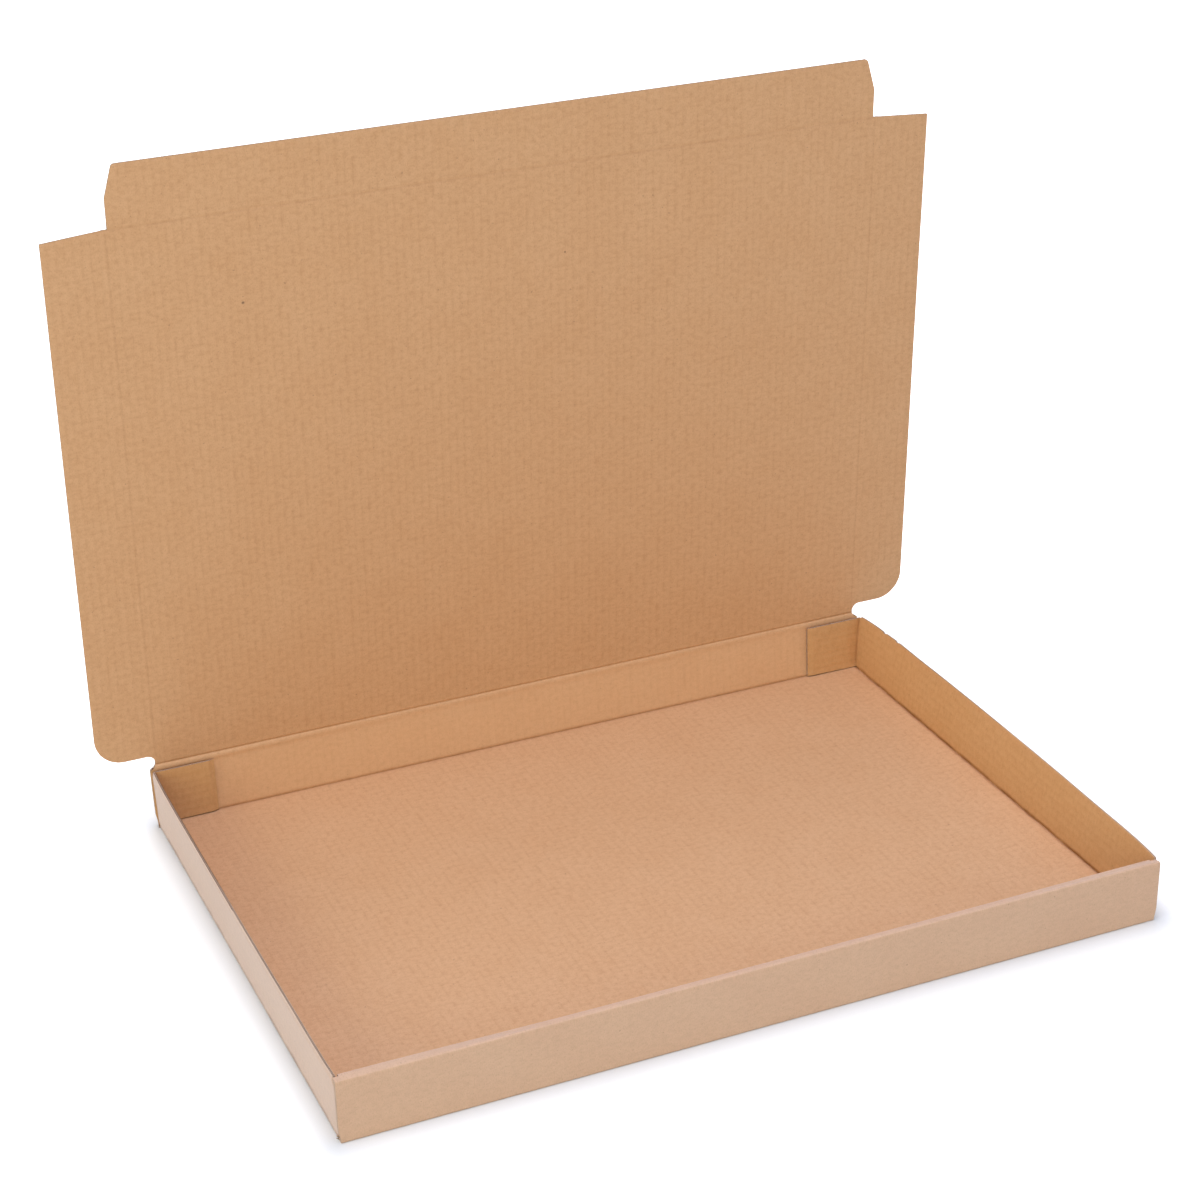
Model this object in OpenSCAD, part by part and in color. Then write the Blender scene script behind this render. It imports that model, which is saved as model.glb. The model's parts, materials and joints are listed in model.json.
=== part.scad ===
// Corrugated mailer box, folded from one die-cut sheet of fluted board.
// A shallow tray has a roll-over front wall and carries a hinged lid with two side flaps and a tuck flap.
// The origin is the middle of the tray's underside: X runs along the hinge, Y towards it, Z up.
// The lid stands open, as it does when the box is being filled.

/* [Board] */
// Thickness of the corrugated board
board_t = 1.5; // [1.2:0.1:2]
// Gap between two layers of board that are folded onto each other
layer_gap = 0.25; // [0.2:0.05:0.4]
// Gap that a crease leaves between the boards of two panels that swing
crease_gap = 0.3; // [0.25:0.05:0.5]

/* [Flutes] */
// Distance from one flute to the next
flute_pitch = 3.43; // [3:0.01:8]
// Thickness of the two liners and of the fluted paper between them
paper_t = 0.2; // [0.1:0.05:0.25]
// Depth to which the flutes are hollow where a cut crosses them
flute_depth = 3; // [1:0.5:5]

/* [Tray] */
// Outside width of the tray, along the hinge
tray_w = 350; // [250:5:450]
// Outside depth of the tray, from the front wall to the foot of the back wall
tray_d = 250; // [180:5:350]
// Outside height of the front and side walls
tray_h = 27.5; // [24:0.5:60]
// How far the side walls stand in from the ends of the front and back walls
side_inset = 0.6; // [0:0.1:1.5]
// Outward lean of the back wall
back_lean = 5.5; // [3:0.5:8]

/* [Corner flaps] */
// Length of the flaps that fold in behind the front wall and in front of the back wall
corner_flap_l = 26; // [12:0.1:40]
// Step down from a side wall's top edge to the back corner flaps
corner_flap_drop = 0.8; // [0:0.1:3]
// Lean of the back corner flaps, which the leaning back wall draws with it
corner_lean = 3; // [0:0.5:4]
// Length of the relief in a side wall's top edge, beside each corner flap
corner_relief = 1; // [0.5:0.1:2.5]
// Rise of a corner flap's lower edge towards its free end
corner_flap_rise = 0.3; // [0:0.1:3]

/* [Locking tabs] */
// Length of each tab under the front wall's inner panel
tab_l = 28; // [10:1:60]
// Distance between the middles of the two tabs
tab_spacing = 190; // [100:5:220]
// Clearance round a tab in its slot in the floor
tab_gap = 0.25; // [0.2:0.05:0.5]
// How far a tab's end stays above the underside
tab_recess = 0.2; // [0.1:0.1:0.5]

/* [Lid] */
// Forward lean of the open lid from upright
lid_lean = 2; // [0:0.1:10]
// Clearance between the closed lid and the top edges of the walls
lid_clear = 0.35; // [0.3:0.05:1]
// Clearance between a closed side flap and the side wall beside it
flap_clear = 0.35; // [0.3:0.05:1]
// Clearance between the closed tuck flap and the front wall before it
tuck_clear = 1.2; // [0.3:0.05:3]
// Height of the closed flaps' edges above the tray's floor
flap_floor_gap = 0.9; // [0.5:0.1:5]
// Distance from the lid's hinge to the side flaps
flap_start = 4.9; // [4.8:0.1:10]
// Radius of the side flaps' corner beside the hinge
flap_corner_r = 12.5; // [4:0.5:14]
// Drop of the side flaps' far edge over their width
flap_taper = 2; // [0:0.5:6]
// Radius of the notch that ends the hinge on each side
notch_r = 3.6; // [3:0.1:3.8]
// Distance from the side edge of the lid panel to the bottom of that notch
notch_land = 0.5; // [0.3:0.1:1]

/* [Tuck flap] */
// Share of the tuck flap's height over which its sides run straight
tuck_straight = 0.48; // [0.3:0.02:0.8]
// How far each side of the tuck flap tapers in at its edge
tuck_taper = 4; // [1:0.5:12]
// Radius of the tuck flap's outer corners
tuck_corner_r = 1.2; // [0.5:0.1:4]

/* [Hidden] */
$fn = 32;
liner = "#c9a07c";
outer_liner = "#cdac8e";
// Slack by which a cutting shape passes the surface that it cuts
past = 1;
// Corners of an open flute cell, as shares of the pitch: along its wavy side and at its liner
cell_valley = [-0.22, -0.08, 0.08, 0.22];
cell_mouth = [0.4, -0.4];
// Share of a side flap's corner radius up to which its lower edge shows open cells
open_share = 0.6;
// Length by which the runs of board that make one panel lap each other
lap = 3;
// The same for a bend, in degrees
bend_lap = 4;

// Places in the tray
inner_x = tray_w / 2 - side_inset - board_t;
fold_y = tray_d / 2 - board_t;
flap_in_y = fold_y - layer_gap - board_t;
panel_out_y = flap_in_y - layer_gap;
front_in_y = panel_out_y - board_t;
panel_half = inner_x - layer_gap;
top_fold_z = tray_h - board_t;

// The hinge of the lid runs through the middle of the board
hinge_z = tray_h + lid_clear + board_t / 2;
wall_s = (hinge_z - board_t + board_t / 2 * sin(back_lean)) / cos(back_lean);
hinge_y = fold_y + wall_s * sin(back_lean) + board_t / 2 * cos(back_lean);

// A panel that swings starts this far from its crease, so that it clears the rounded edge there
swing_start = board_t / 2 + crease_gap;
lid_half = inner_x - flap_clear - board_t / 2;
lid_l = hinge_y + front_in_y - tuck_clear - board_t / 2;
flap_w = hinge_z - board_t - flap_floor_gap;
tuck_half = lid_half - board_t / 2 - crease_gap;
notch_x = lid_half + notch_land + notch_r;
notch_u = flap_start - notch_r;

// Section of a run of board that is folded at the end of each panel: path holds pairs of a panel's
// length and the turn after it. The first panel runs along +X with its inner face up, at Y = 0.
module folded(path, i = 0) {
    length = path[i][0];
    turn = path[i][1];
    translate([0, -board_t]) square([length, board_t]);
    if (turn > 0) translate([length, 0]) {
        bend(turn);
        rotate(turn) folded(path, i + 1);
    }
}

// Board bent round an inner corner at the origin. It laps a little into the panels on both sides.
module bend(turn) {
    reach = 2 * board_t;
    middle = turn / 2 - 90;
    half = turn / 2 + bend_lap;
    intersection() {
        circle(r = board_t);
        polygon([[0, 0], for (a = [-half, 0, half]) reach * [cos(middle + a), sin(middle + a)]]);
    }
}

// Stretches a section along the hinge's direction: its +X becomes the tray's +Y, its +Y becomes up
module along_x(length) {
    translate([-length / 2, 0, 0]) rotate([90, 0, 90]) linear_extrude(length) children();
}

// Rounded edge of a panel along a crease, with its axis on +X
module crease_edge(length) {
    translate([-length / 2, 0, 0]) rotate([0, 90, 0]) cylinder(h = length, d = board_t);
}

// Section of one cell between the fluted paper and a liner: the inner liner's where side is 1, and the
// outer liner's where it is -1. The board's middle is at Y = 0, with its inner face up.
function flute_cell(side) =
    let (swing = board_t / 2 - 1.5 * paper_t)
    concat([for (u = cell_valley) [u * flute_pitch, side * (paper_t / 2 - swing * cos(360 * u))]],
           [for (u = cell_mouth) [u * flute_pitch, side * (board_t / 2 - paper_t)]]);

// Open cells in an edge that is cut across the flutes. The edge runs along +X at Z = 0, between two places
// counted from a flute tip at the inner liner. Where it slopes or curves, extra is how far it rises.
module open_flutes(from, to, extra = 0) {
    translate([0, 0, -past]) linear_extrude(past + flute_depth + extra)
        for (side = [-1, 1]) {
            shift = (side + 1) / 4;
            for (i = [ceil(from / flute_pitch + 0.5 - shift) : floor(to / flute_pitch - 0.5 - shift)])
                translate([(i + shift) * flute_pitch, 0]) polygon(flute_cell(side));
        }
}

// Puts children in the back wall's plane: Y runs up the wall, Z points into the tray, inner face at 0
module on_back_wall() {
    translate([0, fold_y, board_t]) rotate([90 - back_lean, 0, 0]) children();
}

// Puts children in the open lid's plane: Y runs from the hinge to the tuck flap, Z points inward
module on_lid() {
    translate([0, hinge_y, hinge_z]) rotate([90 + lid_lean, 0, 0]) children();
}

// The two notches that end the hinge, drawn square to the board through it
module notches(hinge_at) {
    for (side = [-1, 1])
        translate([side * notch_x, hinge_at + notch_u, -board_t - past])
            cylinder(h = 2 * (board_t + past), r = notch_r);
}

// Floor with the slots that take the front wall's locking tabs
module floor_panel() {
    slot = [tab_l + 2 * tab_gap, board_t + 2 * tab_gap, board_t + 2 * past];
    difference() {
        translate([-inner_x, -fold_y, 0]) cube([2 * inner_x, 2 * fold_y, board_t]);
        for (side = [-1, 1])
            translate([side * tab_spacing / 2 - slot.x / 2, -panel_out_y - tab_gap, -past]) cube(slot);
    }
}

// Front wall: outer panel, double-creased band over the top, inner panel and its locking tabs
module front_wall() {
    panel_h = top_fold_z - board_t;
    band = fold_y - panel_out_y;
    drop = top_fold_z - board_t - layer_gap;
    mirror([0, 1, 0]) {
        along_x(tray_w) translate([fold_y - lap, board_t]) folded([[lap, 90], [panel_h, 0]]);
        along_x(2 * panel_half) translate([fold_y, top_fold_z - lap])
            rotate(90) folded([[lap, 90], [band, 90], [drop, 0]]);
        for (side = [-1, 1]) {
            translate([side > 0 ? panel_half : -tray_w / 2, fold_y, top_fold_z - lap])
                cube([tray_w / 2 - panel_half, board_t, lap + board_t]);
            translate([side * tab_spacing / 2 - tab_l / 2, front_in_y, tab_recess])
                cube([tab_l, board_t, lap]);
        }
    }
}

// Back wall, leaning outward from its fold to the rounded edge that carries the lid
module back_wall() {
    difference() {
        union() {
            along_x(tray_w) translate([fold_y - lap, board_t])
                folded([[lap, 90 - back_lean], [wall_s, 0]]);
            on_back_wall() translate([0, wall_s, -board_t / 2]) crease_edge(tray_w - 2 * past);
        }
        on_back_wall() notches(wall_s);
    }
}

// Right side wall with its fold to the floor and its two corner flaps
module side_wall() {
    wall_y = flap_in_y - corner_relief;
    fold_half = flap_in_y - corner_relief / 2;
    translate([0, fold_half, 0]) rotate([90, 0, 0]) linear_extrude(2 * fold_half)
        translate([inner_x - lap, board_t]) folded([[lap, 90], [lap, 0]]);
    translate([inner_x, -wall_y, board_t]) cube([board_t, 2 * wall_y, tray_h - board_t]);
    translate([inner_x, flap_in_y, board_t]) rotate([-corner_lean, 0, 0])
        corner_flap((tray_h - corner_flap_drop - board_t) / cos(corner_lean));
    mirror([0, 1, 0]) translate([inner_x, flap_in_y, board_t])
        corner_flap(top_fold_z - layer_gap - board_t);
}

// Corner flap that a side wall ends in, up to the given height over the floor: it runs in along -X
module corner_flap(top) {
    foot = [[-lap, layer_gap - past], [-lap, layer_gap], [-corner_flap_l, layer_gap + corner_flap_rise],
            [-corner_flap_l - past, layer_gap + corner_flap_rise], [-corner_flap_l - past, layer_gap - past]];
    difference() {
        translate([0, -lap, layer_gap]) linear_extrude(top - layer_gap)
            rotate(90) folded([[lap, 90], [corner_flap_l, 0]]);
        translate([0, board_t + past, 0]) rotate([90, 0, 0]) linear_extrude(board_t + 2 * past)
            polygon(foot);
        translate([-corner_flap_l, board_t / 2, 0]) rotate([180, 0, 0]) rotate([0, 90, 0])
            open_flutes(layer_gap + corner_flap_rise, top);
    }
}

// The whole tray is one folded piece
module tray() {
    color(outer_liner) {
        floor_panel();
        front_wall();
        back_wall();
        side_wall();
        mirror([1, 0, 0]) side_wall();
    }
}

// Lid panel between its four creases
module lid() {
    color(liner) on_lid() difference() {
        union() {
            translate([-lid_half, swing_start, -board_t / 2])
                cube([2 * lid_half, lid_l - swing_start, board_t]);
            translate([0, lid_l, 0]) crease_edge(2 * tuck_half);
            for (side = [-1, 1])
                translate([side * lid_half, (flap_start + lid_l) / 2, 0])
                    rotate([0, 0, 90]) crease_edge(lid_l - flap_start);
        }
        notches(0);
    }
}

// Side flap, drawn for the right side of the lid
module side_flap() {
    near = lid_half + swing_start;
    far = lid_half + flap_w;
    on_lid() difference() {
        union() {
            translate([0, 0, -board_t / 2]) linear_extrude(board_t)
                polygon([[near, flap_start], [far - flap_corner_r, flap_start],
                         [far, flap_start + flap_corner_r], [far, lid_l - flap_taper], [near, lid_l]]);
            translate([far - flap_corner_r, flap_start + flap_corner_r, -board_t / 2])
                cylinder(h = board_t, r = flap_corner_r);
        }
        notches(0);
        translate([0, lid_l, 0]) rotate([90, 0, 0]) open_flutes(near, far, flap_taper);
        translate([0, flap_start, 0]) mirror([0, 1, 0]) rotate([90, 0, 0])
            open_flutes(notch_x + notch_r, far - (1 - open_share) * flap_corner_r,
                        flap_corner_r * (1 - sqrt(1 - open_share ^ 2)));
    }
}

module right_side_flap() {
    color(liner) side_flap();
}

module left_side_flap() {
    color(liner) mirror([1, 0, 0]) side_flap();
}

// Flap at the lid's far edge, which tucks in behind the front wall
module tuck_flap() {
    start = lid_l + swing_start;
    knee = lid_l + tuck_straight * flap_w;
    edge = lid_l + flap_w;
    top_half = tuck_half - tuck_taper;
    taper = atan(tuck_taper / (edge - knee));
    corner_x = top_half - tuck_corner_r * (1 - sin(taper)) / cos(taper);
    corner = [for (a = [-taper : (90 + taper) / 4 : 90.1])
        [corner_x + tuck_corner_r * cos(a), edge - tuck_corner_r + tuck_corner_r * sin(a)]];
    right = concat([[tuck_half, start], [tuck_half, knee]], corner);
    left = [for (i = [len(right) - 1 : -1 : 0]) [-right[i].x, right[i].y]];
    color(liner) on_lid() difference() {
        translate([0, 0, -board_t / 2]) linear_extrude(board_t) polygon(concat(right, left));
        translate([0, edge, 0]) rotate([90, 0, 0]) open_flutes(-corner_x, corner_x);
    }
}

tray();
lid();
left_side_flap();
right_side_flap();
tuck_flap();
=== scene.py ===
"""Looks of a corrugated mailer box: one die-cut sheet of fluted board, folded into a tray with a lid.

Every piece is a stretch of the same sheet. A place on the sheet has two coordinates in millimetres: x runs
across the flutes and s along them, with s = y on the tray's floor. The flutes, the creases and the textures
follow those coordinates, so they run on from piece to piece, and they stay with the board as it folds.
"""
import json
import math

import bpy
import numpy as np
from mathutils import Matrix, Vector


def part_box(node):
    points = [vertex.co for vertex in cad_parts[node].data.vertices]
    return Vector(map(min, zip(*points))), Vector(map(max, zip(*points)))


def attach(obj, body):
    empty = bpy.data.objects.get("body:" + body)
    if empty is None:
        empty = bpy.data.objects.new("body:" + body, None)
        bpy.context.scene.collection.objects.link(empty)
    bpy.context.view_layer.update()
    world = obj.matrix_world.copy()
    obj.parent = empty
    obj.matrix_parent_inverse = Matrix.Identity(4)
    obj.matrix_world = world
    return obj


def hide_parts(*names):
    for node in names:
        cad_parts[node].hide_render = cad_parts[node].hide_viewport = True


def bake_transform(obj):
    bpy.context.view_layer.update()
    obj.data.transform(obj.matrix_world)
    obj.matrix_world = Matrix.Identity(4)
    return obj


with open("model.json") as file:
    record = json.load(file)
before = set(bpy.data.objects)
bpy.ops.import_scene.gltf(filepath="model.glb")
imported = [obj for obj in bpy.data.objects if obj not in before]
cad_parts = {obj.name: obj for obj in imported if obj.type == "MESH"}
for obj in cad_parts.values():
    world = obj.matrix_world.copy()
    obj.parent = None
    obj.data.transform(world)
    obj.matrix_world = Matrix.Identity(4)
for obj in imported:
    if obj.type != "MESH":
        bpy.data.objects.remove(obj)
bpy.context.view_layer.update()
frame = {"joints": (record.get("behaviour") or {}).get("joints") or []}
bpy.context.scene.view_settings.view_transform = "Standard"

MM = 0.001

# Board: thickness, flute pitch, depth of the liners' dips between the flute tips, share of it that the
# outer liner has, mesh columns to a flute, and the thinnest that a fold or a cut presses the board
BOARD = 1.5
PITCH = 3.43
DIP = 0.05
OUTER_DIP = 0.6
COLUMNS = 5
THINNEST = 0.4

# Cut edge, in shares of the thickness: a liner, half the fluted sheet, and half the height of its wave
LINER = 0.14
FLUTED_HALF = 0.06
WAVE = 0.26

# How deep a cut edge's hollows sink: across the flutes, along them, along the left wall's top, and at the
# ends of the front and the back wall
CROSS_CUT = 1.3
LONG_CUT = 0.45
LEFT_TOP_CUT = 1.0
WALL_END_CUT = 0.15

# Inner radius of a fold, and of the two folds of the front wall's band
FOLD_R = 0.25
BAND_R = 0.35

# How far the outer liner stands out at a fold beyond a round bend, and the half width of that ridge
CRISP = 0.42
CRISP_HALF = 0.42

# Grooves that folds press into the inner face: depth and half width
BACK_GROOVE = (0.28, 0.5)
SIDE_GROOVE = (0.4, 0.9)
CORNER_GROOVE = (0.32, 0.7)

# Crushed edges: how far a face sinks at a cut, and how far in that reaches
FLAP_INNER_CRUSH = (0.08, 1.2)
SIDE_FLAP_CRUSH = (0.5, 1.8)
TUCK_FLAP_CRUSH = (0.45, 1.8)
WALL_INNER_CRUSH = (0.1, 1.2)
WALL_END_REACH = 2.8
WALL_TOP_REACH = 2.4

# Mesh: places that round to the same step become one, with a shift that keeps even numbers off the
# steps' borders; and the angle in degrees from which an edge is sharp
WELD_STEP = 0.004
WELD_SHIFT = 0.00037
SHARP_ANGLE = 38

# Seeds of the uneven forms, and the number of waves in each
FLUTE_SEED = 3
CREASE_SEED = 5
WAVE_SEED = 8
CROSS_CUT_SEED = 9
LONG_CUT_SEED = 10
PUCKER_SEED = 21
WALL_TOP_SEED = 31
BOW_SEED = 41
WAVES = 7

# Places that the frame gives, in millimetres
joints = {j["name"]: j for j in frame["joints"]}
tray_low, tray_high = (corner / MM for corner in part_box("tray"))
flap_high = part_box("right_side_flap")[1] / MM
HALF_W = tray_high.x
FRONT_Y = tray_low.y
HINGE = Vector(joints["lid_hinge"]["pos_m"]) / MM
SIDE_X = joints["right_flap_crease"]["pos_m"][0] / MM
UP_LID = Vector(joints["left_flap_crease"]["axis"]).normalized()
INWARD = Vector((0, -UP_LID.z, UP_LID.y))
LID_L = (Vector(joints["tuck_crease"]["pos_m"]) / MM - HINGE).dot(UP_LID)

# Tray
TRAY_H = 27.5
SIDE_INSET = 0.6
LAYER_GAP = 0.25
FOLD_Y = -FRONT_Y - BOARD
FLAP_Y = FOLD_Y - LAYER_GAP - BOARD
PANEL_Y = FLAP_Y - LAYER_GAP
INNER_X = HALF_W - SIDE_INSET - BOARD
WELD_X = INNER_X - FOLD_R
BAND_Z = TRAY_H - BOARD
WALL_END_Y = FLAP_Y - 0.5
to_hinge = Vector((HINGE.y - FOLD_Y, HINGE.z - BOARD))
BACK_LEAN = math.degrees(math.atan2(to_hinge.x, to_hinge.y) - math.asin(BOARD / 2 / to_hinge.length))
LEAN = math.radians(BACK_LEAN)
WALL_S = math.sqrt(to_hinge.length_squared - BOARD ** 2 / 4)

# Two small nicks in the right wall's top: places, depth and half width
NICKS = [92.0, 103.0]
NICK_DEPTH = 0.7
NICK_HALF = 1.2

# Outward bulge of the side walls: the most at the top of the right and of the left wall, and the power of
# the height with which it grows
BULGE = {1: 5.2, -1: 1.5}
BULGE_POWER = 1.5

# Corner flaps, locking tabs and their slots
FLAP_LEN = 26.0
FLAP_RISE = 0.3
BACK_FLAP_DROP = 0.8
BACK_FLAP_LEAN = 3.0
TAB_L = 28.0
TAB_X = 95.0
TAB_GAP = 0.25
TAB_Z = 0.2

# Lid: notches that end the hinge, side flaps and tuck flap
NOTCH_R = 3.6
NOTCH_X = SIDE_X + 0.5 + NOTCH_R
FLAP_START = 4.9
NOTCH_U = FLAP_START - NOTCH_R
FLAP_FAR = flap_high.x
FLAP_R = 12.5
FLAP_TAPER = 2.0
LID_GAP = 0.3
TUCK_HALF = SIDE_X - BOARD / 2 - LID_GAP
TUCK_H = FLAP_FAR - SIDE_X
TUCK_KNEE = 0.48 * TUCK_H
TUCK_TAPER = 4.0
TUCK_R = 1.2

# Specks in the lid's inner liner: place across and up the lid, size and colour
SPECKS = [(-118.0, 206.0, 0.8, "#5d4434"), (24.0, 206.0, 0.6, "#7a5432")]

# Half widths of the strips of board along the hinge and the creases
HINGE_HALF = 2.8
CREASE_HALF = 2.2

# Lengths over which places shift to meet a curved or slanting cut: from the lower and the upper end of the
# lid's sides, and from the ends of the tuck flap and of the hinge
LOWER_FADE = 48
UPPER_FADE = 22
TUCK_FADE = 22
HINGE_FADE = 8


def smooth(t):
    """Smooth step from 0 to 1 as t goes from 0 to 1."""
    t = np.clip(t, 0.0, 1.0)
    return t * t * (3 - 2 * t)


def hump(q, at, half):
    """Smooth bump of height 1 at a place, some half millimetres wide to each side."""
    return np.exp(-(((q - at) / half) ** 2))


def crisp(q, fold):
    """How far the outer liner stands out at a fold beyond a round bend. The ridge ends without a tail."""
    tail = 0.12
    return CRISP * np.clip((1 + tail) * hump(q, fold, CRISP_HALF) - tail, 0, None)


def wander(seed, size, a, b=0.0):
    """Smooth ups and downs from about -1 to 1, some size millimetres long, over one or two coordinates."""
    draw = np.random.default_rng(seed)
    total = 0.0
    for _ in range(WAVES):
        turn = draw.uniform(0, 2 * math.pi)
        length = size * draw.uniform(0.7, 1.8)
        way = a * math.cos(turn) + b * math.sin(turn)
        total = total + np.sin(2 * math.pi * way / length + draw.uniform(0, 2 * math.pi))
    return total / math.sqrt(1.6 * WAVES)


def spread(low, high, step, stops=()):
    """Even places from low to high, with the stops among them and none much closer than a step."""
    even = np.linspace(low, high, max(2, round((high - low) / step) + 1))
    fixed = np.array(sorted({low, high, *[p for p in stops if low < p < high]}))
    apart = np.abs(even[:, None] - fixed[None, :]).min(1) > step / 3
    return np.sort(np.concatenate([even[apart], fixed]))


def both(values):
    """The values and their mirror images."""
    return [sign * v for v in values for sign in (-1, 1)]


def trace(start, heading, runs):
    """Inner face of a strip that folds to its left, in a plane. Each run holds its length between inner
    corners, the turn after it in degrees, the radius of that turn and the stops along the run.
    Gives the places, the inward normals, the length along the board and the number of the run, which is
    one half more in the fold after it."""
    least = 0.15
    fold_step = 15
    at = np.array(start, float)
    way = math.radians(heading)
    begin = 0.0
    flat = 0.0
    rows = []
    for number, (length, turn, radius, stops) in enumerate(runs):
        ahead = np.array([math.cos(way), math.sin(way)])
        left = np.array([-math.sin(way), math.cos(way)])
        bend = math.radians(turn)
        cut = radius * math.tan(bend / 2)
        inside = [p for p in stops if begin + least < p < length - cut - least]
        for p in [begin, *sorted(inside), length - cut]:
            rows.append((at + ahead * p, left, flat + p - begin, number))
        flat += length - cut - begin
        centre = at + ahead * (length - cut) + left * radius
        steps = math.ceil(turn / fold_step)
        for i in range(1, steps):
            angle = way + bend * i / steps
            normal = np.array([-math.sin(angle), math.cos(angle)])
            along = flat + bend * i / steps * (radius + BOARD / 2)
            rows.append((centre - normal * radius, normal, along, number + 0.5))
        flat += bend * (radius + BOARD / 2)
        at = at + ahead * length
        way += bend
        begin = cut
    places, normals, flats, numbers = zip(*rows)
    return np.array(places), np.array(normals), np.array(flats), np.array(numbers)


def mid_fold(corner, degrees):
    """Place on the sheet of the middle of a fold whose inner faces meet at that corner."""
    half = math.radians(degrees) / 2
    return corner + half * BOARD / 2 - FOLD_R * (math.tan(half) - half)


def half_fold(radius):
    """Length on the sheet from the middle of a square fold to its end."""
    return math.pi / 4 * (radius + BOARD / 2)


# Places on the sheet of the folds, the hinge and the tuck crease
BACK_FOLD_S = mid_fold(FOLD_Y, 90 - BACK_LEAN)
CORNER_FOLD_S = mid_fold(FLAP_Y, 90)
SIDE_FOLD_X = mid_fold(INNER_X, 90)
FRONT_FOLD_S = -mid_fold(FOLD_Y, 90)
FRONT_TOP_S = FRONT_FOLD_S - half_fold(FOLD_R) - (BAND_Z - BOARD - FOLD_R - BAND_R) - half_fold(BAND_R)
BAND_END_S = FRONT_TOP_S - 2 * half_fold(BAND_R) - (FOLD_Y - PANEL_Y - 2 * BAND_R)
HINGE_S = FOLD_Y + math.radians(90 - BACK_LEAN) * BOARD / 2 + WALL_S
TUCK_S = HINGE_S + LID_L


def groove(q, at, depth, half):
    """Depth of a groove at a place beside its middle."""
    return depth * hump(q, at, half)


def fold_dips(x, s, inner, outer):
    """The dips with the folds' grooves inside and their crisp ridges outside."""
    edge = 0.01
    wide, long = np.abs(x), np.abs(s)
    on_floor = wide < WELD_X + edge
    on_flaps = wide > HALF_W + edge
    inner = inner + groove(s, BACK_FOLD_S, *BACK_GROOVE) * on_floor
    inner = inner + groove(wide, SIDE_FOLD_X, *SIDE_GROOVE) * (long < CORNER_FOLD_S)
    inner = inner + groove(long, CORNER_FOLD_S, *CORNER_GROOVE) * on_flaps
    for fold, share in ((FRONT_FOLD_S, 1), (FRONT_TOP_S, 1), (BAND_END_S, 1), (BACK_FOLD_S, 0.7)):
        outer = outer - share * crisp(s, fold)
    outer = outer - crisp(wide, SIDE_FOLD_X) * (long < WALL_END_Y - edge)
    return inner, outer - crisp(long, CORNER_FOLD_S) * on_flaps


def hinge_dips(x, q, inner, outer):
    """The dips near the hinge: no flutes, a bead below it, higher at the left, and a pressed line."""
    bead = 0.36 - 0.18 * smooth((x + 140) / 60)
    inner = inner * (1 - hump(q, -1.4, 2.4)) - bead * hump(q, -1.6, 1.4) + groove(q, 0.25, 0.35, 0.42)
    return inner, outer * (1 - hump(q, 0, 2.4)) + groove(q, 0, 0.35, 0.9)


def tuck_dips(x, s, inner, outer):
    """The dips near the tuck flap's crease, whose pressed line strays a little."""
    q = s - TUCK_S - 0.2 * wander(CREASE_SEED, 40, x)
    inner = inner * (1 - hump(q, 0, 1.6)) + groove(q, -0.1, 0.1, 0.5) - 0.06 * hump(q, 1.1, 0.8)
    return inner, outer * (1 - hump(q, 0, 1.6)) + groove(q, 0, 0.25, 0.8)


def dips(x, s):
    """How far the inner and the outer face lie below the board's full thickness at a place on the sheet."""
    line = np.round(x / PITCH)
    uneven = 1 + 0.5 * wander(FLUTE_SEED, 60, s + 17 * line, 29 * line)
    inner = DIP * uneven * (0.5 - 0.5 * np.cos(2 * math.pi * x / PITCH))
    outer = OUTER_DIP * DIP * (0.5 + 0.5 * np.cos(2 * math.pi * x / PITCH))
    inner, outer = fold_dips(x, s, inner, outer)
    inner, outer = hinge_dips(x, s - HINGE_S, inner, outer)
    inner, outer = tuck_dips(x, s, inner, outer)
    q = np.abs(x) - SIDE_X
    on_lid = smooth((s - HINGE_S - 2) / 3) * smooth((TUCK_S - s + 2) / 2)
    inner = inner + on_lid * (groove(q, 0, 0.1, 0.45) - 0.03 * hump(q, 1.1, 0.6))
    outer = outer + on_lid * 0.2 * hump(q, 0, 0.7)
    return inner, outer


def crushed(away, depth, reach):
    """How far a face sinks near a cut that lies so far away, as the die presses the board flat there."""
    return depth * (1 - smooth(away / reach))


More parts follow.
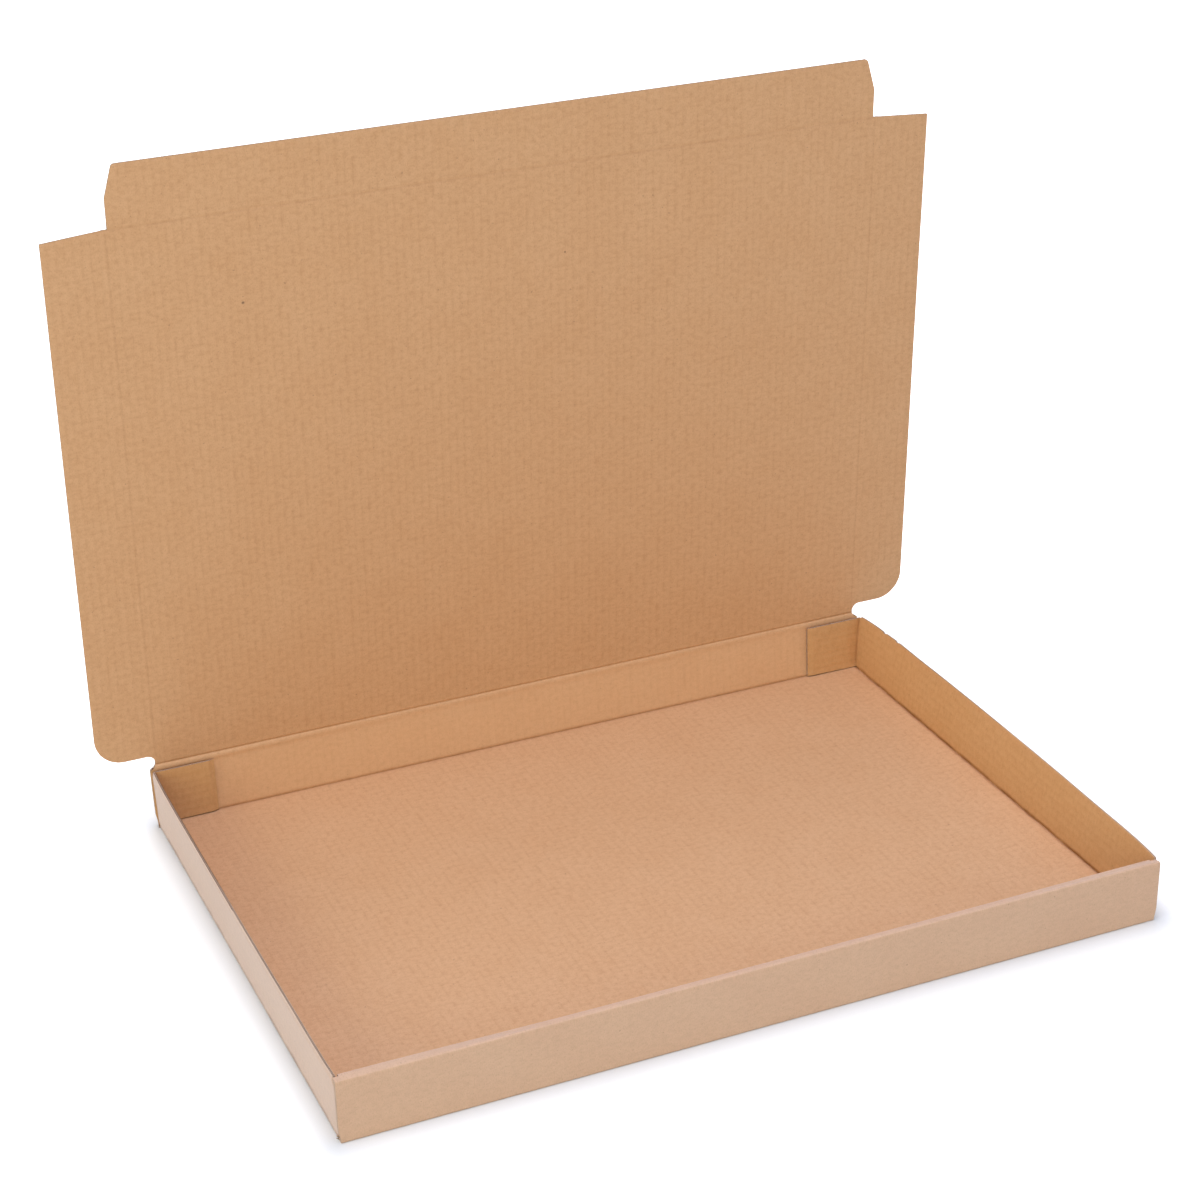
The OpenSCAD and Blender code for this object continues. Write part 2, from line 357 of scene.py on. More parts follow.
class Board:
    """Stretches of board that make one piece. Each is a grid of places on the inner face."""

    def __init__(self):
        self.inner = []
        self.outer = []
        self.flat = []
        self.quads = []
        self.count = 0

    def add(self, place, inward, flat, present=None, thin=(0, 0)):
        """Adds a grid: places and inward normals are n x m x 3, sheet coordinates n x m x 2, present says
        which of its cells are there, and thin how far its two faces sink."""
        inward = inward / np.linalg.norm(inward, axis=-1, keepdims=True)
        dip_in, dip_out = (dip + more for dip, more in zip(dips(flat[..., 0], flat[..., 1]), thin))
        dip_out = np.minimum(dip_out, BOARD - THINNEST - dip_in)
        n, m = place.shape[:2]
        index = np.arange(n * m).reshape(n, m) + self.count
        cells = np.stack([index[:-1, :-1], index[1:, :-1], index[1:, 1:], index[:-1, 1:]], -1)
        if present is not None:
            cells = cells[present]
        along = (place[1:, :-1] - place[:-1, :-1]).reshape(-1, 3)
        across = (place[:-1, 1:] - place[:-1, :-1]).reshape(-1, 3)
        facing = (np.cross(along, across) * inward[:-1, :-1].reshape(-1, 3)).sum()
        cells = cells.reshape(-1, 4)
        self.quads.append(cells if facing > 0 else cells[:, ::-1])
        self.inner.append((place - inward * dip_in[..., None]).reshape(-1, 3))
        self.outer.append((place - inward * (BOARD - dip_out)[..., None]).reshape(-1, 3))
        self.flat.append(flat.reshape(-1, 2))
        self.count += n * m

    def welded(self):
        """The grids as one: places that two of them share become one."""
        inner, outer = np.concatenate(self.inner), np.concatenate(self.outer)
        flat, quads = np.concatenate(self.flat), np.concatenate(self.quads)
        used = np.unique(quads)
        key = np.round((np.hstack([inner, outer]) + WELD_SHIFT) / WELD_STEP).astype(np.int64)[used]
        _, first, back = np.unique(key, axis=0, return_index=True, return_inverse=True)
        lookup = np.zeros(self.count, np.int64)
        lookup[used] = back.ravel()
        keep = used[first]
        return inner[keep], outer[keep], flat[keep], lookup[quads]

    def build(self, name, materials):
        """Makes the closed mesh: both faces, and the cut edges with the flutes between the liners."""
        inner, outer, flat, quads = self.welded()
        count = len(inner)
        starts, ends = rim(quads)
        chain, chain_flat = cut_edge(inner, outer, flat, starts, ends)
        layers = chain.shape[1]
        rim_index = {int(v): i for i, v in enumerate(starts)}
        places = np.vstack([inner, outer, chain[:, 1:-1].reshape(-1, 3)])
        sheet = np.vstack([flat, flat, chain_flat[:, 1:-1].reshape(-1, 2)])

        def at(v, layer):
            if layer == 0:
                return int(v)
            if layer == layers - 1:
                return int(v) + count
            return 2 * count + rim_index[int(v)] * (layers - 2) + layer - 1

        walls = [[at(b, k), at(a, k), at(a, k + 1), at(b, k + 1)]
                 for a, b in zip(starts, ends) for k in range(layers - 1)]
        faces = np.vstack([quads, quads[:, ::-1] + count, np.array(walls)])
        mesh = bpy.data.meshes.new(name)
        mesh.from_pydata((places * MM).tolist(), [], faces.tolist())
        for material in materials:
            mesh.materials.append(material)
        which = np.repeat([0, 1, 2], [len(quads), len(quads), len(walls)]).astype(np.int32)
        mesh.polygons.foreach_set("material_index", which)
        mesh.polygons.foreach_set("use_smooth", np.ones(len(faces), bool))
        mesh.set_sharp_from_angle(angle=math.radians(SHARP_ANGLE))
        corner = np.zeros(len(mesh.loops), np.int32)
        mesh.loops.foreach_get("vertex_index", corner)
        uv = mesh.uv_layers.new(name="sheet")
        uv.data.foreach_set("uv", (sheet[corner] * MM).astype(np.float32).ravel())
        mesh.validate()
        mesh.update()
        obj = bpy.data.objects.new(name, mesh)
        bpy.context.scene.collection.objects.link(obj)
        return obj


def rim(quads):
    """Starts and ends of the edges that only one quad has, in the order in which that quad has them."""
    a = quads.ravel()
    b = np.roll(quads, -1, axis=1).ravel()
    real = a != b
    a, b = a[real], b[real]
    size = int(quads.max()) + 1
    alone = ~np.isin(a * size + b, b * size + a)
    return a[alone], b[alone]


def cut_edge(inner, outer, flat, starts, ends):
    """Places through the board at each point of the rim, from the inner face to the outer one. They
    follow the two liners and the fluted layer between, and sink in the open cells."""
    count = len(inner)
    step = inner[ends] - inner[starts]
    length = np.linalg.norm(step, axis=1, keepdims=True) + 1e-9
    through = inner[starts] - outer[starts]
    through /= np.linalg.norm(through, axis=1, keepdims=True)
    out = np.cross(step / length, through)
    crossing = np.abs(flat[ends] - flat[starts])
    share = crossing[:, 0] / (crossing.sum(1) + 1e-9)
    outward = np.zeros((count, 3))
    across = np.zeros(count)
    for at in (starts, ends):
        np.add.at(outward, at, out)
        np.add.at(across, at, share / 2)
    outward = outward[starts]
    outward /= np.linalg.norm(outward, axis=1, keepdims=True) + 1e-9
    across = np.clip(across[starts], 0, 1)[:, None]
    x, s = flat[starts, 0], flat[starts, 1]
    wide, long = np.abs(x), np.abs(s)
    wave = 0.5 - WAVE * np.cos(2 * math.pi * x / PITCH) * across[:, 0] + 0.05 * wander(WAVE_SEED, 9, x, s)
    depth_cross = CROSS_CUT + 0.2 * wander(CROSS_CUT_SEED, 6, x, s)
    left_top = (x < -HALF_W - 5) & (long < CORNER_FOLD_S)
    wall_end = (np.abs(wide - HALF_W) < 2) & (long > WALL_END_Y) & (long < FOLD_Y + 0.5)
    depth_along = np.select([left_top, wall_end], [LEFT_TOP_CUT, WALL_END_CUT], LONG_CUT)
    depth_along = depth_along + 0.12 * wander(LONG_CUT_SEED, 14, x, s)
    depth = depth_along * (1 - across[:, 0]) + depth_cross * across[:, 0]
    depth = depth * np.linalg.norm((outer - inner)[starts], axis=1) / BOARD
    zero = np.zeros(len(starts))
    one = zero + 1
    below, above = wave - FLUTED_HALF, wave + FLUTED_HALF
    level = np.stack([zero, zero + LINER, zero + LINER, below, below, above, above,
                      one - LINER, one - LINER, one], 1)
    sunk = np.stack([zero, zero, depth, depth, zero, zero, depth, depth, zero, zero], 1)
    line = inner[starts][:, None] + (outer - inner)[starts][:, None] * level[..., None]
    places = line - outward[:, None] * sunk[..., None]
    along_edge = (x * across[:, 0] + s * (1 - across[:, 0]))[:, None]
    return places, np.stack([along_edge + 0 * level, sunk], -1)


def grid(columns, rows):
    """Columns and rows as two grids."""
    return np.meshgrid(columns, rows, indexing="ij")


# Numbers of three runs of the strip that makes the tray, and of the side wall in its own strip
PANEL_RUN = 0
BAND_RUN = 1
FLOOR_RUN = 3
WALL_RUN = 1

# Rows of places along the tray's runs, in millimetres, close together near folds and cuts. The floor's rows
# are places along y, and the side walls share them.
FLOOR_STEP = 25
FLOOR_ENDS = [WALL_END_Y - 0.65, PANEL_Y - BOARD - TAB_GAP, 118.4, 116.8, 112]
NICK_ROWS = [nick + shift for nick in NICKS for shift in (-1.5, 0, 1.5)]
FLOOR_Y = spread(-WALL_END_Y, WALL_END_Y, FLOOR_STEP, [*both(FLOOR_ENDS), *NICK_ROWS, -105, -95, 108])
PANEL_ROWS = [BOARD + LAYER_GAP - TAB_Z, 7, 15]
FRONT_ROWS = [1.5, 4, 12, 20, 22.5]
BACK_ROWS = [1.5, 4, 14, WALL_S - 4.8, WALL_S - 4.2, WALL_S - 3.5]
FLAP_ROWS = [6, 12, 18, 22, 23.2, 24.1, 25, 25.6]


def pucker(x, y):
    """How far the floor's edge bulges up beside the crease of a side wall, less at the left."""
    top_at = 3.2
    away = np.clip(WELD_X - np.abs(x), 0, None)
    near = away / top_at * np.exp(1 - away / top_at)
    inside = smooth((112 - np.abs(y)) / 14)
    ripple = 0.55 + 0.45 * wander(PUCKER_SEED, 46, y, 0.3 * x)
    return np.where(x > 0, 0.75, 0.3) * near * inside * np.clip(ripple, 0.05, None)


def band_drop(x):
    """How far the rolled-over edge of the front wall sinks on its inner side, along its length."""
    most = 1.1
    return most * smooth((x + 172) / 110) * (1 - 0.4 * smooth((x - 60) / 110))


def tray_cells(x, yz, run):
    """Which cells of the tray's grid are there: the panel and the floor are narrower than the walls, and
    the inner panel ends in two tabs, which stand in slots in the floor."""
    cell_x = np.abs((x[:-1] + x[1:]) / 2)[:, None]
    cell_run = ((run[:-1] + run[1:]) / 2)[None, :]
    cell_y, cell_z = ((yz[:-1] + yz[1:]) / 2).T[:, None, :]
    on_floor = cell_run == FLOOR_RUN
    narrow = (cell_run < BAND_RUN) | (on_floor & (np.abs(cell_y) < WALL_END_Y))
    present = np.where(narrow, cell_x < WELD_X, True)
    below_panel = (cell_run == PANEL_RUN) & (cell_z < BOARD + LAYER_GAP)
    from_tab = np.abs(cell_x - TAB_X)
    present &= ~below_panel | (from_tab < TAB_L / 2)
    slot_y = (cell_y > -PANEL_Y - TAB_GAP) & (cell_y < -PANEL_Y + BOARD + TAB_GAP)
    return present & ~(on_floor & slot_y & (from_tab < TAB_L / 2 + TAB_GAP))


def corner_inset(x, y, z):
    """How far the low ends of the front and the back wall draw in, level with the side walls' folds."""
    low = smooth((np.abs(y) - WALL_END_Y) / 0.4) * (1 - smooth((z - 1) / 5))
    past_weld = np.clip((np.abs(x) - WELD_X) / (HALF_W - WELD_X), 0, 1)
    return np.sign(x) * (SIDE_INSET + 0.1) * low * past_weld


def tray_board():
    """Floor, front wall with its rolled-over band, back wall, side walls and corner flaps."""
    board = Board()
    floor_stops = [y + FOLD_Y for y in [*FLOOR_Y, -PANEL_Y - TAB_GAP]]
    runs = [(BAND_Z - TAB_Z, 90, BAND_R, PANEL_ROWS),
            (FOLD_Y - PANEL_Y, 90, BAND_R, []),
            (BAND_Z - BOARD, 90, FOLD_R, FRONT_ROWS),
            (2 * FOLD_Y, 90 - BACK_LEAN, FOLD_R, floor_stops),
            (WALL_S - HINGE_HALF, 0, 0, BACK_ROWS)]
    yz, normal, flat_s, run = trace((-PANEL_Y, TAB_Z), 90, runs)
    on_floor = run == FLOOR_RUN
    flat_s = flat_s - flat_s[on_floor][0] + yz[on_floor][0][0]
    tab_edges = [TAB_X + sign * (TAB_L / 2 + gap) for sign in (-1, 1) for gap in (0, TAB_GAP)]
    x = spread(-HALF_W, HALF_W, PITCH / COLUMNS, both([WELD_X, *tab_edges]))
    gx, gs = grid(x, flat_s)
    place = np.stack([gx, *(np.broadcast_to(yz[:, i], gx.shape) for i in (0, 1))], -1)
    inward = np.stack([0 * gx, *(np.broadcast_to(normal[:, i], gx.shape) for i in (0, 1))], -1)
    place[..., 2] += np.where(on_floor[None, :], pucker(place[..., 0], place[..., 1]), 0)
    inner_side = np.select([run < BAND_RUN, run < BAND_RUN + 0.5], [1, 0.5], 0)
    place[..., 2] -= inner_side * smooth((yz[:, 1] - 4) / 18) * band_drop(place[..., 0])
    place[..., 0] -= corner_inset(gx, yz[:, 0], yz[:, 1])
    board.add(place, inward, np.stack([gx, gs], -1), tray_cells(x, yz, run))
    for side in (1, -1):
        side_wall(board, side)
    return board


# Share of a side wall's bulge at places along it, from the front to the back, and a smooth curve through it
BOW_AT = np.array([-124, -119, -112, -102, -80, -40, 0, 40, 80, 98, 110, 118, 124])
BOW_SHARE = np.array([0.28, 0.43, 0.58, 0.68, 0.76, 0.93, 1.0, 0.99, 0.95, 0.88, 0.74, 0.52, 0.26])
BOW_UNIT = 120
BOW_FIT = np.polyfit(BOW_AT / BOW_UNIT, BOW_SHARE, 8)


def bulge(y, side):
    """How far the top of a side wall bulges outward, along its length."""
    return np.polyval(BOW_FIT, np.clip(y, BOW_AT[0], BOW_AT[-1]) / BOW_UNIT) * BULGE[side]


def side_fold(board, side):
    """Fold along the floor's edge."""
    turn, y = grid(np.radians(np.linspace(0, 90, 7)), FLOOR_Y)
    place = np.stack([WELD_X + FOLD_R * np.sin(turn), y, BOARD + FOLD_R * (1 - np.cos(turn))], -1)
    inward = np.stack([-np.sin(turn), 0 * turn, np.cos(turn)], -1)
    flat = np.stack([WELD_X + turn * (FOLD_R + BOARD / 2), y], -1)
    mirrored(board, place, inward, flat, side)


def wall_top(xy, on_wall, side):
    """Height of the top of a side wall and of its corner flaps, with the nicks and a slight waver."""
    high = np.where(xy[:, 1] > 0, TRAY_H - BACK_FLAP_DROP, BAND_Z - LAYER_GAP)
    high = np.where(on_wall & (np.abs(xy[:, 1]) < WALL_END_Y - 0.1), TRAY_H, high)
    nick = sum(NICK_DEPTH * hump(xy[:, 1], y, NICK_HALF) for y in NICKS) * (side > 0)
    return high - (nick + 0.1 * (1 + wander(WALL_TOP_SEED + side, 30, xy[:, 1]))) * on_wall


def side_wall(board, side):
    """Fold along the floor's edge, side wall and its two corner flaps."""
    side_fold(board, side)
    runs = [(FLAP_LEN, 90, FOLD_R, [FLAP_LEN - p for p in FLAP_ROWS]),
            (2 * FLAP_Y, 90, FOLD_R, [y + FLAP_Y for y in FLOOR_Y]),
            (FLAP_LEN, 0, 0, FLAP_ROWS)]
    xy, normal, flat_s, run = trace((INNER_X - FLAP_LEN, -FLAP_Y), 0, runs)
    on_wall = run == WALL_RUN
    flat_s = flat_s - flat_s[on_wall][0] + xy[on_wall][0][1]
    foot = BOARD + LAYER_GAP
    rise = TRAY_H - foot
    from_wall = (INNER_X - xy[:, 0]) / FLAP_LEN
    low = foot + FLAP_RISE * from_wall
    high = wall_top(xy, on_wall, side)
    share, _ = grid(np.linspace(0, 1, round(TRAY_H / PITCH * COLUMNS)), flat_s)
    z = low + (high - low) * share
    leaning = np.where(xy[:, 1] > 0, smooth((xy[:, 1] - 100) / 20), 0)
    lean = math.tan(math.radians(BACK_FLAP_LEAN)) * leaning
    y = xy[:, 1] + (z - foot) * lean
    up = np.clip((z - foot) / rise, 0, 1)
    held = 1 - from_wall
    out = held * bulge(xy[:, 1], side)
    near = 0.05
    turned = held * (bulge(xy[:, 1] + near, side) - bulge(xy[:, 1] - near, side)) / (2 * near)
    place = np.stack([xy[:, 0] + out * up ** BULGE_POWER, y, z], -1)
    nx, ny = (np.broadcast_to(normal[:, i], z.shape) for i in (0, 1))
    tilt = BULGE_POWER * out * np.sqrt(up) / rise
    inward = np.stack([nx, ny - nx * turned * up ** BULGE_POWER, -ny * lean - nx * tilt], -1)
    base = WELD_X + math.pi / 2 * (FOLD_R + BOARD / 2)
    flat = np.stack([base + z - foot, np.broadcast_to(flat_s, z.shape)], -1)
    end = np.minimum(flat_s - flat_s[0], flat_s[-1] - flat_s)
    end_in, top_out = (0.5, 0.5) if side > 0 else (1.0, 0.45)
    inner = crushed(high - z, *WALL_INNER_CRUSH) + crushed(end, end_in, WALL_END_REACH)
    mirrored(board, place, inward, flat, side, (inner, crushed(high - z, top_out, WALL_TOP_REACH)))


def mirrored(board, place, inward, flat, side, thin=(0, 0)):
    """Adds a grid drawn for the right side to that side, or to the left one."""
    flip = np.array([side, 1, 1])
    board.add(place * flip, inward * flip, flat * flip[:2], thin=thin)


def bow(x, u):
    """How far the open lid bows inward at a place on it, between its hinge and the tuck flap."""
    rise = smooth((u - 5) / 70) * smooth((LID_L - 3 - u) / 60)
    across = 0.5 * np.cos(x / 110) + 0.35 * wander(BOW_SEED, 260, x, u)
    return rise * across


def lid_grid(board, x, u, present=None, thin=(0, 0)):
    """Adds a grid of places on the open lid, its flaps or the crease strips between them."""
    base = np.array(HINGE) + x[..., None] * np.array([1, 0, 0]) + u[..., None] * np.array(UP_LID)
    inward = np.broadcast_to(np.array(INWARD), base.shape)
    place = base + inward * (BOARD / 2 + bow(x, u)[..., None])
    board.add(place, inward, np.stack([x, HINGE_S + u], -1), present, thin)


# Rows of places up the lid, and those of its sides beyond the tuck crease's strip
LID_ROWS = spread(HINGE_HALF, LID_L - CREASE_HALF, 14, [3.5, 5, 7, 10, 14, 20, LID_L - 5, LID_L - 3.2])
END_ROWS = np.array([LID_L - 1.2, LID_L])


def lid_board():
    """Lid panel between its four crease strips."""
    board = Board()
    half = SIDE_X - CREASE_HALF
    x, u = grid(spread(-half, half, PITCH / COLUMNS), LID_ROWS)
    lid_grid(board, x, u)
    return board


def lower_edge(x):
    """Where the lid's side begins over the hinge: along the notch, then the side flap's rounded corner."""
    notch = np.clip(NOTCH_X - x, 0, NOTCH_R)
    over_notch = NOTCH_U + np.sqrt(NOTCH_R ** 2 - notch ** 2)
    corner = np.clip(x - (FLAP_FAR - FLAP_R), 0, FLAP_R)
    over_corner = FLAP_START + FLAP_R - np.sqrt(FLAP_R ** 2 - corner ** 2)
    in_lid = x < NOTCH_X - math.sqrt(NOTCH_R ** 2 - (HINGE_HALF - NOTCH_U) ** 2)
    return np.where(in_lid, HINGE_HALF, np.where(x < NOTCH_X, over_notch, over_corner))


def upper_edge(x):
    """Where the lid's side ends: level with the tuck crease, then dropping along the side flap."""
    near = SIDE_X + BOARD / 2 + LID_GAP
    return LID_L - FLAP_TAPER * np.clip((x - near) / (FLAP_FAR - near), 0, 1)


def side_stretch(low_x, high_x, side):
    """Board of the lid's side between two places across it, with all its rows."""
    board = Board()
    arcs = np.radians(np.arange(0, 91, 7.5))
    stops = [*(NOTCH_X - NOTCH_R * np.cos(arcs)), *(FLAP_FAR - FLAP_R + FLAP_R * np.sin(arcs))]
    x, u = grid(spread(low_x, high_x, PITCH / COLUMNS, stops), np.concatenate([LID_ROWS, END_ROWS]))
    up = np.clip(1 - (u - HINGE_HALF) / LOWER_FADE, 0, 1)
    down = np.clip(1 - (LID_L - u) / UPPER_FADE, 0, 1)
    u = u + (lower_edge(x) - HINGE_HALF) * up + (upper_edge(x) - LID_L) * down
    away = np.minimum(FLAP_FAR - x, np.minimum(u - lower_edge(x), upper_edge(x) - u))
    on_flap = smooth((x - SIDE_X - 0.5) / 2)
    thin = [on_flap * crushed(away, *crush) for crush in (FLAP_INNER_CRUSH, SIDE_FLAP_CRUSH)]
    lid_grid(board, side * x, u, thin=thin)
    return board


def tuck_board():
    """Tuck flap, with straight sides that taper towards its rounded outer corners."""
    board = Board()
    low = LID_L + CREASE_HALF
    edge = LID_L + TUCK_H
    rounding = edge - TUCK_R + TUCK_R * np.sin(np.radians([0, 22, 45, 67]))
    rows = spread(low, edge, 6, [LID_L + 3, LID_L + 4, LID_L + TUCK_KNEE, edge - 2, *rounding])
    x, u = grid(spread(-TUCK_HALF, TUCK_HALF, PITCH / COLUMNS), rows)
    taper = TUCK_TAPER * np.clip((u - LID_L - TUCK_KNEE) / (TUCK_H - TUCK_KNEE), 0, 1)
    round_off = np.clip(u - (edge - TUCK_R), 0, TUCK_R)
    taper = taper + TUCK_R - np.sqrt(np.clip(TUCK_R ** 2 - round_off ** 2, 0, None))
    outer = np.clip((np.abs(x) - TUCK_HALF + TUCK_FADE) / TUCK_FADE, 0, 1)
    away = np.minimum(edge - u, TUCK_HALF - np.abs(x))
    past_crease = smooth((u - low) / 2)
    thin = [past_crease * crushed(away, *crush) for crush in (FLAP_INNER_CRUSH, TUCK_FLAP_CRUSH)]
    lid_grid(board, x - np.sign(x) * taper * outer, u, thin=thin)
    return board


def tuck_crease_board():
    """Strip of board at the crease between the lid and the tuck flap."""
    board = Board()
    inner_half = SIDE_X - CREASE_HALF
    columns = spread(-TUCK_HALF, TUCK_HALF, PITCH / COLUMNS, both([inner_half]))
    rows = LID_L + CREASE_HALF * np.array([-1, -0.7, -0.45, -0.2, 0, 0.15, 0.35, 0.65, 1])
    x, u = grid(columns, rows)
    cell_x = np.abs((columns[:-1] + columns[1:]) / 2)[:, None]
    cell_u = ((rows[:-1] + rows[1:]) / 2)[None, :]
    lid_grid(board, x, u, (cell_x < inner_half) | (cell_u > LID_L))
    return board


def hinge_board():
    """Strip of board that bends between the back wall and the lid, between the two notches."""
    board = Board()
    wall_end = NOTCH_U - math.sqrt(NOTCH_R ** 2 - (NOTCH_X - HALF_W) ** 2)
    rows = np.array(sorted([-HINGE_HALF, wall_end, -1.7, -1.2, -0.8, -0.45, -0.2, 0, 0.15, 0.35, 0.6,
                            0.95, NOTCH_U, 2, HINGE_HALF]))
    land = NOTCH_X - NOTCH_R
    x, q = grid(spread(-land, land, PITCH / COLUMNS), rows)
    from_notch = np.clip(NOTCH_R ** 2 - (q - NOTCH_U) ** 2, 0, None)
    half = np.where(q <= wall_end, HALF_W, NOTCH_X - np.sqrt(from_notch))
    x = x + np.sign(x) * (half - land) * np.clip((np.abs(x) - land + HINGE_FADE) / HINGE_FADE, 0, 1)
    up_wall = np.array([0, math.sin(LEAN), math.cos(LEAN)])
    from_wall = np.array([0, -math.cos(LEAN), math.sin(LEAN)])
    along = np.where(q[..., None] < 0, q[..., None] * up_wall, q[..., None] * np.array(UP_LID))
    share = smooth((q + 1) / 2)[..., None]
    inward = from_wall * (1 - share) + np.array(INWARD) * share
    inward = inward / np.linalg.norm(inward, axis=-1, keepdims=True)
    middle = np.array(HINGE) + x[..., None] * np.array([1, 0, 0]) + along
    flat = np.stack([x, HINGE_S + q], -1)
    board.add(middle + inward * BOARD / 2, inward, flat)
    return board


class Tree:
    """Builds a material's nodes in few words."""

    def __init__(self, name):
        self.material = bpy.data.materials.new(name)
        self.material.use_nodes = True
        self.nodes = self.material.node_tree.nodes
        self.links = self.material.node_tree.links
        self.shader = self.nodes["Principled BSDF"]
        self.output = self.nodes["Material Output"]

    def set(self, socket, value):
        """Links a socket to another, or gives it a value."""
        if isinstance(value, bpy.types.NodeSocket):
            self.links.new(value, socket)
        elif value is not None:
            socket.default_value = value

    def math(self, operation, a, b=None):
        """Sum, product or another operation on one or two values."""
        node = self.nodes.new("ShaderNodeMath")
        node.operation = operation
        for socket, value in zip(node.inputs, (a, b)):
            self.set(socket, value)
        return node.outputs[0]

    def parts(self, vector):
        """The vector's x and y."""
        node = self.nodes.new("ShaderNodeSeparateXYZ")
        self.set(node.inputs[0], vector)
        return node.outputs["X"], node.outputs["Y"]

    def noise(self, vector, size, stretch=(1, 1), detail=2.0, rough=0.5, shift=0.0):
        """Noise whose lumps are some size millimetres long on the sheet, stretched by x and by s."""
        mapping = self.nodes.new("ShaderNodeMapping")
        self.set(mapping.inputs["Vector"], vector)
        mapping.inputs["Location"].default_value = (shift, shift * 0.7, shift)
        per = 1 / (size * MM)
        mapping.inputs["Scale"].default_value = (per / stretch[0], per / stretch[1], 1)
        node = self.nodes.new("ShaderNodeTexNoise")
        node.inputs["Scale"].default_value = 1
        node.inputs["Detail"].default_value = detail
        node.inputs["Roughness"].default_value = rough
        self.set(node.inputs["Vector"], mapping.outputs[0])
        return node.outputs["Fac"]

    def between(self, value, low, high, to_low=0.0, to_high=1.0):
        """Maps a value from one range to another, and clamps it."""
        node = self.nodes.new("ShaderNodeMapRange")
        for socket, part in zip(node.inputs, (value, low, high, to_low, to_high)):
            self.set(socket, part)
        return node.outputs[0]

    def line(self, value, at, half):
        """1 on a line across the sheet at so many millimetres, fading to 0 half its width away."""
        away = self.math("ABSOLUTE", self.math("SUBTRACT", value, at * MM))
        return self.between(away, half * MM, 0.0)

    def dot(self, place, x, s, size):
        """Most of the way to 1 at a place on the sheet, fading to 0 so many millimetres away."""
        node = self.nodes.new("ShaderNodeVectorMath")
        node.operation = "DISTANCE"
        self.set(node.inputs[0], place)
        node.inputs[1].default_value = (x * MM, s * MM, 0)
        return self.between(node.outputs["Value"], 0.3 * size * MM, size * MM, 0.8, 0.0)

    def mix(self, share, a, b):
        """Mixes two colours."""
        node = self.nodes.new("ShaderNodeMix")
        node.data_type = "RGBA"
        self.set(node.inputs["Factor"], share)
        self.set(node.inputs["A"], a)
        self.set(node.inputs["B"], b)
        return node.outputs["Result"]

    def sheet(self):
        """The place on the sheet, in metres."""
        node = self.nodes.new("ShaderNodeUVMap")
        node.uv_map = "sheet"
        return node.outputs[0]

    def bump(self, height, distance, strength, normal=None):
        """Normal for a height that goes up to so many millimetres."""
        node = self.nodes.new("ShaderNodeBump")
        node.inputs["Distance"].default_value = distance * MM
        node.inputs["Strength"].default_value = strength
        self.set(node.inputs["Height"], height)
        self.set(node.inputs["Normal"], normal)
        return node.outputs[0]


def colour(code):
    """Linear colour of a hex code."""
    parts = [int(code[i:i + 2], 16) / 255 for i in (1, 3, 5)]
    return (*[p / 12.92 if p <= 0.04045 else ((p + 0.055) / 1.055) ** 2.4 for p in parts], 1)


# Tones beyond the liners' own: painted shade in the crevices, fine specks, painted light on the back
# wall and painted bounce light on the side walls; and the fibre of the cut edges, from dark to light,
# with painted shade in its hollows
CREVICE_SHADE = "#8c5220"
SPECK = "#6b4322"
BACK_WALL_LIGHT = "#f6cb9c"
SIDE_WALL_BOUNCE = "#c29239"
CUT_DARK = "#c9ab90"
CUT_LIGHT = "#e0cab3"
CUT_HOLLOW_SHADE = "#6b4229"


def painted_crevice_shade(tree, across, along):
    """Painted shade in the folds' crevices and along the lid's creases, from 0 to 1."""
    place = tree.sheet()
    wide, long = tree.math("ABSOLUTE", across), tree.math("ABSOLUTE", along)
    on_floor = tree.math("LESS_THAN", wide, WELD_X * MM)
    on_tray = tree.math("LESS_THAN", long, CORNER_FOLD_S * MM)
    on_lid = tree.math("GREATER_THAN", along, (HINGE_S + HINGE_HALF) * MM)
    uneven = tree.between(tree.noise(place, 9), 0.35, 0.6, 0.6, 1.0)
    broken = tree.between(tree.noise(place, 14, shift=4), 0.35, 0.6, 0.4, 1.0)
    stray = 0.8 * MM
    wavy = tree.math("ADD", wide, tree.between(tree.noise(place, 11, shift=7), 0.3, 0.7, -stray, stray))
    off_floor = tree.math("SUBTRACT", 1.0, on_floor)
    folds = [(tree.line(along, BACK_FOLD_S, 1.3), on_floor, uneven, 0.4),
             (tree.line(wavy, SIDE_FOLD_X, 2.0), on_tray, uneven, 0.8),
             (tree.line(long, CORNER_FOLD_S, 1.6), off_floor, uneven, 0.5),
             (tree.line(along, HINGE_S + 0.3, 0.8), uneven, 0.2),
             (tree.line(wide, SIDE_X, 0.6), on_lid, broken, 0.12),
             (tree.line(along, TUCK_S - 0.3, 0.7), broken, 0.12)]
    darkest = 0.0
    for parts in folds:
        shade = parts[0]
        for part in parts[1:]:
            shade = tree.math("MULTIPLY", shade, part)
        darkest = tree.math("MAXIMUM", shade, darkest)
    return darkest


